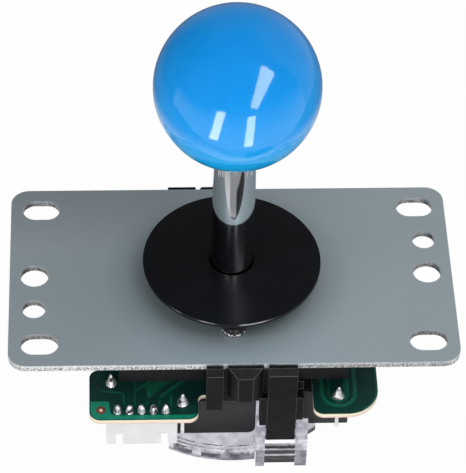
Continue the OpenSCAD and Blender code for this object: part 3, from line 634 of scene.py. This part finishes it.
shaft_mesh = built("lever_shaft_turned", [revolved(shaft_profile(), 128)])
shaft = add("lever_shaft_turned", shaft_mesh, "lever", "shaft_chrome")
slot_half, slot_deep = 0.6, 1.4
cut(shaft, [block((-4, -slot_half, STEM_LOW - 1), (4, slot_half, STEM_LOW + slot_deep))])
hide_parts("lever_shaft")


def washer_profile():
    """A thin ring with rounded rims."""
    return rounded([(WASHER_HOLE_R, WASHER_LOW, 0.12), (WASHER_R, WASHER_LOW, 0.3),
                    (WASHER_R, WASHER_TOP, 0.22), (WASHER_HOLE_R, WASHER_TOP, 0.2)])


washer_mesh = built("dust_washer_formed", [revolved(washer_profile(), 160, True)])
washer = add("dust_washer_formed", washer_mesh, "washer", "washer_black")
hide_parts("dust_washer")


def wound_spring(first, last):
    """A round wire along part of a helix.

    Ring t lies at the coil's radius, turned by t times four turns, and climbs as t goes from 0 to 1.
    """
    low, high = ends("return_spring")[:, 2]
    wire_r, turns = 0.55, 4
    coil_r = ends("return_spring")[1, 0] - wire_r
    rings_per_turn, corners = 56, 18
    along = np.linspace(first, last, round(rings_per_turn * turns * (last - first)) + 1)
    turn = 2 * np.pi * turns * along
    level = low + wire_r + (high - low - 2 * wire_r) * along
    middle = np.stack([coil_r * np.cos(turn), coil_r * np.sin(turn), level], -1)
    out = np.stack([np.cos(turn), np.sin(turn), 0 * turn], -1)
    around = np.linspace(0, 2 * np.pi, corners, endpoint=False)
    tube = (middle[:, None] + wire_r * np.cos(around)[None, :, None] * out[:, None]
            + wire_r * np.sin(around)[None, :, None] * np.array([0, 0, 1.0]))
    points, sides = grid(tube, False, True)
    end = len(points) - corners
    caps = [list(range(corners)), list(range(end, end + corners))]
    return points, sides.tolist() + caps


# The spring's head stays with the seat and its foot leans with the actuator. Here its two halves meet at its
# middle and ride on no body, and the bodies and ends listed for them are not used.
spring_low, spring_high = (corner[2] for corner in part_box("return_spring"))
spring_middle = (spring_low + spring_high) / 2
for half, first, last, fixed, moved, start, end in [
        ("lower", 0, 0.5, "spring", "lever_head", spring_middle, spring_low),
        ("upper", 0.5, 1, "base", "spring", spring_high, spring_middle)]:
    name = "return_spring_" + half
    spring = add(name, built(name, [wound_spring(first, last)], 50), None, "spring_steel")
    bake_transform(spring)
    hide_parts("return_spring")


# Plate and its screws

def cut_faces(normals, middles):
    """1 on the faces that stand upright along the plate's outline, and 2 on those in its holes, which get a
    darker copy of the edge finish as painted shade.
    """
    inside = (np.abs(middles[:, :2]) < PLATE_HALF - PLATE_RIM).all(1)
    return np.where(np.abs(normals[:, 2]) < 0.5, np.where(inside, 2, 1), 0)


def between(values, low, high):
    """Where values lie between two bounds."""
    return (values > low) & (values < high)


def housing_faces(normals, middles):
    """1 on the block's outer walls, which get a lighter black as painted light."""
    outer = (np.abs(np.abs(middles[:, :2]) - BLOCK_HALF) < 0.1) & (np.abs(normals[:, :2]) > 0.9)
    return outer.any(1)


def gate_faces(normals, middles):
    """Numbers the gate's faces that get darker, less clear copies of the clear plastic as painted shade.

    1 is on the posts' leaning fronts and the skirt, 2 on the skirt's upright fronts and the sills, and 3 on
    the ridged grips between the posts.
    """
    post_reach, skirt_radius, upright_reach = 28, 28.5, 29.1
    skirt_top, sill_level, grip_top = -25.6, -27.4, -25
    out = np.abs(normals[:, :2]).max(1)
    reach, aside = np.abs(middles[:, :2]).max(1), np.abs(middles[:, :2]).min(1)
    radius, level = np.linalg.norm(middles[:, :2], axis=1), middles[:, 2]
    away = np.sum(normals[:, :2] * middles[:, :2], 1) / radius
    leaning = (out > 0.9) & (away > 0.5) & (reach > post_reach) & (level > skirt_top)
    skirt = (away > 0.8) & (radius > skirt_radius) & (level < skirt_top)
    upright = skirt & (out > 0.99) & (reach > upright_reach)
    sill = (normals[:, 2] > 0.9) & (np.abs(level - sill_level) < 0.1)
    grip = (out > 0.999) & (away > 0.5) & (level < grip_top)
    grip &= between(reach, 28.2, 28.9) & between(aside, 8, 13)
    return np.select([grip, upright | sill, leaning | skirt], [3, 2, 1], 0)


dressed("mounting_plate", 0.14, 2, [cut_edge, hole_edge_shaded], cut_faces, 0)


def pan_screws():
    """Pan heads with a domed top over a plain shank, one in front of the lever and one behind."""
    screw = rounded([(0, SCREW_LOW, 0), (SCREW_SHANK_R - 0.2, SCREW_LOW, 0),
                     (SCREW_SHANK_R, SCREW_LOW + 0.3, 0), (SCREW_SHANK_R, 0, 0), (SCREW_HEAD_R, 0, 0.12),
                     (SCREW_HEAD_R, SCREW_TOP - 0.9, 0.5), (2.0, SCREW_TOP - 0.2, 1.2), (0, SCREW_TOP, 0)])
    return [revolved(screw, 64, at=(0, y, 0)) for y in (-SCREW_Y, SCREW_Y)]


screws = add("plate_screws_formed", built("plate_screws_formed", pan_screws()), "base", "black_screw")
RECESS_LONG, RECESS_THIN, RECESS_LOW, RECESS_TOP = 1.45, 0.36, 1.0, 3.2
for wide, deep in ((RECESS_LONG, RECESS_THIN), (RECESS_THIN, RECESS_LONG)):
    cut(screws, [block((-wide, y - deep, RECESS_LOW), (wide, y + deep, RECESS_TOP), 0.12)
                 for y in (-SCREW_Y, SCREW_Y)])
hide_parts("plate_screws")

# Moulded, pressed and assembled pieces under the plate

# The housing's outer walls get painted light, and its rounded edges a painted highlight.
dressed("main_housing", 0.10, 2, [lit_wall_black, rim_highlight_black], housing_faces, 2, False)
for side in ("front", "right", "rear", "left"):
    dressed("switch_case_" + side, 0.25, 3)
    dressed("plunger_" + side, 0.12)
dressed("switch_lids", 0.12)
dressed("connector_shell", 0.15)
dressed("connector_pins", 0.08)
dressed("switch_terminals", 0.08)
dressed("contact_blades", 0.05)
dressed("restrictor_gate", 0.15, 2, [sloped_clear_shaded, upright_clear_shaded, grip_clear_shaded], gate_faces)
dressed("actuator", 0.2)
dressed("pivot_ball", 0.15)
dressed("spring_seat", 0.12)
dressed("retaining_ring", 0.08)
dressed("ball_insert", 0.1)
dressed("circuit_board", 0)


# Copper, lands and solder on the board

def ribbon(path, width):
    """A flat strip along a path on the board: points stand half a width to each side, with mitred corners."""
    path = np.asarray(path, float)
    width = np.broadcast_to(width, len(path))[:, None]
    ahead = np.diff(path, axis=0)
    ahead /= np.linalg.norm(ahead, axis=1)[:, None]
    turn = np.concatenate([ahead[:1], ahead[:-1] + ahead[1:], ahead[-1:]])
    turn /= np.linalg.norm(turn, axis=1)[:, None]
    reach = np.concatenate([[1.0], 1 / np.maximum(np.sum(turn[1:-1] * ahead[:-1], 1), 0.4), [1.0]])
    side = np.stack([-turn[:, 1], turn[:, 0]], -1) * reach[:, None] * width / 2
    left, right = path + side, path - side
    low, high = BOARD - SUNK, BOARD + COPPER
    lines = [np.concatenate([edge, np.full((len(path), 1), z)], 1)
             for edge, z in ((left, low), (left, high), (right, high), (right, low))]
    points, sides = grid(np.stack(lines, 1), False, True)
    last = len(points) - 4
    return points, sides.tolist() + [[3, 2, 1, 0], [last, last + 1, last + 2, last + 3]]


def area(outline):
    """A flat patch on the board, with upright rims."""
    outline = np.asarray(outline, float)
    n = len(outline)
    points = np.concatenate([np.c_[outline, np.full(n, z)] for z in (BOARD - SUNK, BOARD + COPPER)])
    rim = [[i, (i + 1) % n, n + (i + 1) % n, n + i] for i in range(n)]
    return points, rim + [list(range(n)), list(range(n, 2 * n))]


# Places of the connector's pins, and of a switch's side and end terminals as they stand in front
FIRST_PIN, LAST_PIN = ends("connector_pins")
PIN_HALF = (LAST_PIN[1] - FIRST_PIN[1]) / 2
PINS = np.linspace(FIRST_PIN[:2] + PIN_HALF, LAST_PIN[:2] - PIN_HALF, 5)
SIDE = (-11.2, -26.7)
END_EVEN, END_ODD = (-26.7, -20.9), (-25.3, -22.7)


def turned(point, k):
    """A point of the front side carried a number of quarter turns round the lever."""
    x, y = point
    return [(x, y), (-y, x), (-x, -y), (y, -x)][k]


def joints_on_board():
    """Places of the switches' soldered terminals."""
    return [turned(p, k) for k in range(4) for p in (SIDE, END_EVEN if k % 2 == 0 else END_ODD)]


def traces():
    """Gaps between the dark copper fields: lines from between the pins, and rings round the outer terminals.

    A ring runs down, round half a turn about the terminal and up again, and the inner one grows wider to the
    right.
    """
    lines = [([(-28.9, -22.9), (-27.6, -23.4), (-24.7, -23.65), (-23.96, -24.5), (-23.97, -27.4)], 0.34),
             ([(-21.5, -20.6), (-21.55, -27.3)], 0.26),
             ([(-21.2, -23.15), (-17.8, -20.2)], 0.8),
             ([(-18.95, -27.5), (-18.9, -25.0)], 0.32),
             ([(-16.27, -27.5), (-16.25, -25.0)], 0.32),
             ([(-16.3, -25.25), (-12.4, -21.67), (-10.5, -20.1)], 0.85),
             ([(-13.79, -27.6), (-13.72, -24.4)], 0.45)]
    strips = [ribbon(line, width) for line, width in lines]
    ring_y, ring_end = -24.5, -17
    arc = np.linspace(np.pi, 2 * np.pi, 33)
    outer = np.stack([22.79 + 3.62 * np.cos(arc), ring_y + 3.62 * np.sin(arc)], -1)
    inner = np.stack([22.57 + 1.92 * np.cos(arc), ring_y + 2.1 * np.sin(arc)], -1)
    corner = np.linspace(-np.pi / 3, 0, 17)
    rim = np.stack([24.45 + 6.75 * np.cos(corner), -23.45 + 6.75 * np.sin(corner)], -1)
    wider = np.interp(np.linspace(0, 1, 35), [0, 0.4, 0.55, 0.8, 1], [0.28, 0.32, 0.6, 1.15, 1.2])
    for turn in (1, -1):
        for bow, width in ((outer, 0.85), (inner, wider)):
            path = np.concatenate([[(bow[0, 0], ring_end)], bow, [(bow[-1, 0], ring_end)]])
            strips.append(ribbon(turn * path, width))
        strips.append(ribbon(turn * np.concatenate([rim, [(31.2, -14)]]), 0.4))
    return strips


def corner_strip():
    """Bare board along the front edge and in the connector's corner."""
    return area(rounded([(-31.2, -26.15, 0), (-31.2, -31.2, 2.3), (-8.1, -31.2, 2.0), (-8.1, -29.6, 0),
                         (-9.3, -30.1, 0.5), (-26.5, -30.1, 1.0), (-27.0, -29.0, 0.5), (-27.2, -26.15, 0.6)]))


def wedge():
    """The wide gap between two slanting copper fields."""
    return area([(-18.9, -25.9), (-19.1, -21.8), (-16.2, -20.2), (-12.3, -20.0), (-15.3, -22.1),
                 (-18.0, -24.7)])


add("board_traces", built("board_traces", traces() + [wedge()]), "base", "board_green", trace_green)
add("board_pours", built("board_pours", [corner_strip()]), "base", "board_green", pour_green)

VIA, DIMPLE = (-28.94, -28.56, 0), BOARD + 0.01


def via_ring():
    """A dull copper land round a dimple, in the connector's corner."""
    land = rounded([(0, DIMPLE, 0), (0.3, DIMPLE, 0), (0.5, BOARD + 0.1, 0.08), (0.95, BOARD + 0.08, 0.08),
                    (1.12, BOARD - SUNK, 0)], 3)
    return revolved(land, 40, at=VIA)


def via_bead():
    """A low bright dome in the land's dimple."""
    turn = np.linspace(np.pi / 2, 0, 9)
    dome = np.stack([0.46 * np.cos(turn), DIMPLE + 0.2 * np.sin(turn)], -1)
    return revolved(dome, 32, at=VIA)


add("via_land", built("via_land", [via_ring()]), "base", "blade_brass", bare_copper)
add("via_bead", built("via_bead", [via_bead()]), "base", "blade_brass", bright_copper)


def solder():
    """Each joint is a spike of solder, a little out of round.

    At height u the terminals' flanks are hollow, as (1 - u) to a power, and the pins' are blunt, as a half
    ellipse.
    """
    chance = np.random.RandomState(7)
    up = np.linspace(0, 1, 22)
    hollow = (0.26 + 0.74 * (1 - up) ** 1.5) * np.sqrt(np.clip((1 - up) / 0.12, 0, 1))
    blunt = 0.82 * np.sqrt(1 - up ** 2.4) + 0.18 * (1 - up) ** 6
    cones = []
    terminal_r, terminal_height, pin_r, pin_height = 1.3, 2.9, 0.95, 2.0
    shapes = [(p, terminal_r * hollow, terminal_height) for p in joints_on_board()]
    shapes += [(p, pin_r * blunt, pin_height) for p in PINS]
    for (x, y), flank, height in shapes:
        profile = np.stack([flank, BOARD - 2 * SUNK + height * up], -1)
        profile[-1, 0] = 0
        waves = chance.uniform(0.03, 0.11, 3)
        starts = chance.uniform(0, 2 * np.pi, 3)

        def wobble(turn, level, waves=waves, starts=starts, height=height):
            """Two, three and four lobes round a joint, summed, and stronger towards its tip."""
            lobes = sum(w * np.cos((n + 2) * turn + s) for n, (w, s) in enumerate(zip(waves, starts)))
            return 1 + lobes * (0.5 + 0.7 * (level - BOARD) / height)

        cones.append(revolved(profile, 32, at=(x, y, 0), wobble=wobble))
    return cones


joints = add("solder_joints_formed", built("solder_joints_formed", solder(), 60), "base", "solder")
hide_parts("solder_joints")

# Floor, walls and lights

FLOOR = cad_box[0][2] / MM
ROUND = np.linspace(-np.pi, np.pi, 144, endpoint=False)[None, :]


def looked_at(tree):
    """1 for what the eye sees straight, mirrored or through clear plastic, and 0 for light on the pieces."""
    path = put(tree, "LightPath").outputs
    bent = math_node(tree, "MAXIMUM", path["Is Glossy Ray"], path["Is Transmission Ray"])
    return math_node(tree, "MAXIMUM", path["Is Camera Ray"], bent)


def floor_piece():
    """A wide pale floor that looks white to the eye and in reflections, and keeps a soft shadow."""
    half, level = 3, FLOOR * MM
    corners = [(-half, -half, level), (half, -half, level), (half, half, level), (-half, half, level)]
    mesh = bpy.data.meshes.new("floor")
    mesh.from_pydata(corners, [], [(0, 1, 2, 3)])
    made, tree, shader = material("floor_white", Roughness=0.9)
    pale = mixed(tree, noise(tree, 30), (0.89, 0.89, 0.89, 1), (0.9, 0.9, 0.9, 1))
    fill(tree, shader.inputs["Base Color"], pale)
    glow = put(tree, "Emission", {"Strength": 1.0}).outputs[0]
    blend = put(tree, "MixShader", {0: times(tree, looked_at(tree), 0.975), 1: shader.outputs[0], 2: glow})
    fill(tree, tree.nodes["Material Output"].inputs["Surface"], blend.outputs[0])
    mesh.materials.append(made)
    piece = bpy.data.objects.new("floor", mesh)
    scene.collection.objects.link(piece)


def wall_reach(turn):
    """Distance of the studio walls from the lever's axis, at an angle from the front towards the right."""
    marks = np.radians([-180, -130, -90, -60, -27, 0, 20, 45, 70, 95, 140, 180])
    return np.interp(turn, marks, [290, 290, 290, 200, 117, 90, 86, 88, 110, 240, 290, 290])


def only_reflected(name, points, tone):
    """A stage surface that glows with a strength and that only reflections see."""
    mesh = built(name, [points])
    made, tree, _ = material(name)
    strength = tone(tree) if callable(tone) else tone
    glow = put(tree, "Emission", {"Strength": strength}).outputs[0]
    fill(tree, tree.nodes["Material Output"].inputs["Surface"], glow)
    mesh.materials.append(made)
    piece = bpy.data.objects.new(name, mesh)
    scene.collection.objects.link(piece)
    piece.visible_camera = False
    piece.visible_diffuse = False
    piece.visible_transmission = False
    piece.visible_shadow = False
    piece.visible_volume_scatter = False


def wall_tone(tree):
    """Dim in front but pale near the floor, and grey behind, paler to the right and dimmer overhead."""
    x, y, z = axes(tree)
    behind = ramp(tree, y, -0.012, 0.004)
    before = math_node(tree, "SUBTRACT", 1.0, behind)
    front = ramp(tree, z, 0.085, 0.030, 0.08, 0.75)
    wide = ramp(tree, flat_distance(tree, x, y), 0.10, 0.25, 0.4, 1)
    rear = times(tree, ramp(tree, z, 0.20, 0.04, 0.16, 0.22), wide)
    aside = times(tree, ramp(tree, x, -0.18, -0.08, 0.25, 1), ramp(tree, x, 0.08, 0.16, 1, 1.7))
    rear = times(tree, rear, aside)
    return math_node(tree, "ADD", times(tree, behind, rear), times(tree, before, front))


def apron_tone(tree):
    """White near the object, dim far aside, grey in front and with a dark gap at the front right."""
    x, y, _ = axes(tree)
    radius = put(tree, "VectorMath", {0: place(tree)}, operation="LENGTH").outputs["Value"]
    depth = math_node(tree, "ADD", y, ramp(tree, x, -0.022, -0.034, 0, 0.016))
    tone = math_node(tree, "MINIMUM", ramp(tree, radius, 0.070, 0.125, 0.9, 0.14),
                     ramp(tree, depth, -0.050, -0.060, 0.95, 0.38))
    tone = math_node(tree, "MAXIMUM", tone, ramp(tree, y, -0.074, -0.090, 0, 0.75))
    along = times(tree, ramp(tree, x, 0.009, 0.013), ramp(tree, x, 0.070, 0.055))
    deep = times(tree, ramp(tree, y, -0.046, -0.050), ramp(tree, y, -0.074, -0.070))
    return times(tree, tone, ramp(tree, times(tree, along, deep), 0, 1, 1, 0.1))


def round_lever(reach, level):
    """Points all round the lever's axis, from the front towards the right, at a reach and a level."""
    return np.stack([reach * np.sin(ROUND), -reach * np.cos(ROUND), np.broadcast_to(level, reach.shape)], -1)


def apron_surface():
    """A flat ring just over the floor out to the walls, which starts nearer at the right and in front."""
    outer = wall_reach(ROUND)
    inner = np.minimum(60 - 4 * np.sin(ROUND) - 14 * np.maximum(np.cos(ROUND), 0), 0.97 * outer)
    reach = inner + (outer - inner) * np.linspace(0, 1, 12)[:, None]
    return grid(round_lever(reach, FLOOR + 0.6), False, True)


def walls_surface():
    """Soft grey walls, upright below and closing overhead as the eighth root of 1 - h^8 at height h."""
    height = 320
    climb = np.linspace(0, 1, 48)[:, None]
    reach = wall_reach(ROUND) * (1 - climb ** 8) ** 0.125
    return grid(round_lever(reach, FLOOR + 0.5 + height * climb), False, True)


def gleam_surface(corners):
    """A patch just inside the walls that the ball mirrors as a four-sided gleam.

    The corners are right and up offsets over the ball's face in ball radii, and points between are blended.
    There the ball's outward direction n turns the line of sight s into s - 2 (s . n) n, which is followed out
    to the walls.
    """
    corner = np.asarray(corners, float).reshape(2, 2, 2)
    share = np.linspace(0, 1, 13)
    u, v = (t[..., None] for t in np.meshgrid(share, share, indexing="ij"))
    top = (1 - v) * corner[0, 0] + v * corner[0, 1]
    foot = (1 - v) * corner[1, 0] + v * corner[1, 1]
    offset = (1 - u) * top + u * foot
    sight = (Vector((0, 0, BALL_Z)) - EYE).normalized()
    above = RIGHT.cross(sight).normalized()
    depth = np.sqrt(1 - np.sum(offset ** 2, -1, keepdims=True))
    out = offset[..., :1] * np.array(RIGHT) + offset[..., 1:] * np.array(above) - depth * np.array(sight)
    ray = np.array(sight) - 2 * (out @ np.array(sight))[..., None] * out
    start = BALL_R * out + np.array([0, 0, BALL_Z])
    turn = np.arctan2(ray[..., 0], -ray[..., 1])
    room = 0.93 * wall_reach(turn) - np.linalg.norm(start[..., :2], axis=-1)
    steps = room / np.linalg.norm(ray[..., :2], axis=-1)
    return grid(start + steps[..., None] * ray, False, False)


def lamp(name, centre, along, width, radiance):
    """An oblong lamp at a point, its long side along a direction, facing the ball and unseen in reflections.

    Its power is the radiance times pi times its area.
    """
    centre, along = Vector(centre), Vector(along)
    data = bpy.data.lights.new(name, "AREA")
    data.shape = "RECTANGLE"
    data.size, data.size_y = along.length, width
    data.energy = radiance * math.pi * along.length * width
    made = bpy.data.objects.new(name, data)
    scene.collection.objects.link(made)
    ahead = (Vector((0, 0, BALL_Z * MM)) - centre).normalized()
    across = ahead.cross(along).normalized()
    along = across.cross(ahead).normalized()
    made.matrix_world = Matrix.Translation(centre) @ Matrix((along, across, -ahead)).transposed().to_4x4()
    made.visible_camera = False
    made.visible_glossy = False
    made.visible_transmission = False


def set_lights():
    """Soft lamps and an even white world."""
    lamp("key", (0.40, 0.0, 0.86), (0.65, 0.65, 0), 0.8, 2.1)
    lamp("side", (-0.75, -0.35, 0.45), (0, 0.6, 0), 0.6, 1.8)
    lamp("front", (0.0, -0.9, 0.12), (0.9, 0, 0), 0.25, 5.0)
    world = bpy.data.worlds.new("world")
    scene.world = world
    world.use_nodes = True
    tree = world.node_tree
    strength = ramp(tree, looked_at(tree), 0, 1, 0.32, 1.0)
    fill(tree, tree.nodes["Background"].inputs["Strength"], strength)
    tree.nodes["Background"].inputs["Color"].default_value = (1, 1, 1, 1)


floor_piece()
only_reflected("walls", walls_surface(), wall_tone)
only_reflected("apron", apron_surface(), apron_tone)
for name, strength, corners in [
        ("gleam_right", 6.0, [(0.274, 0.251), (0.459, 0.211), (0.149, -0.232), (0.224, -0.260)]),
        ("gleam_left", 9.0, [(-0.235, -0.272), (-0.138, -0.299), (-0.333, -0.593), (-0.235, -0.620)]),
        ("gleam_low", 8.0, [(0.118, -0.346), (0.212, -0.331), (0.074, -0.695), (0.176, -0.684)])]:
    only_reflected(name, gleam_surface(corners), strength)
set_lights()
scene.view_settings.view_transform = "Standard"
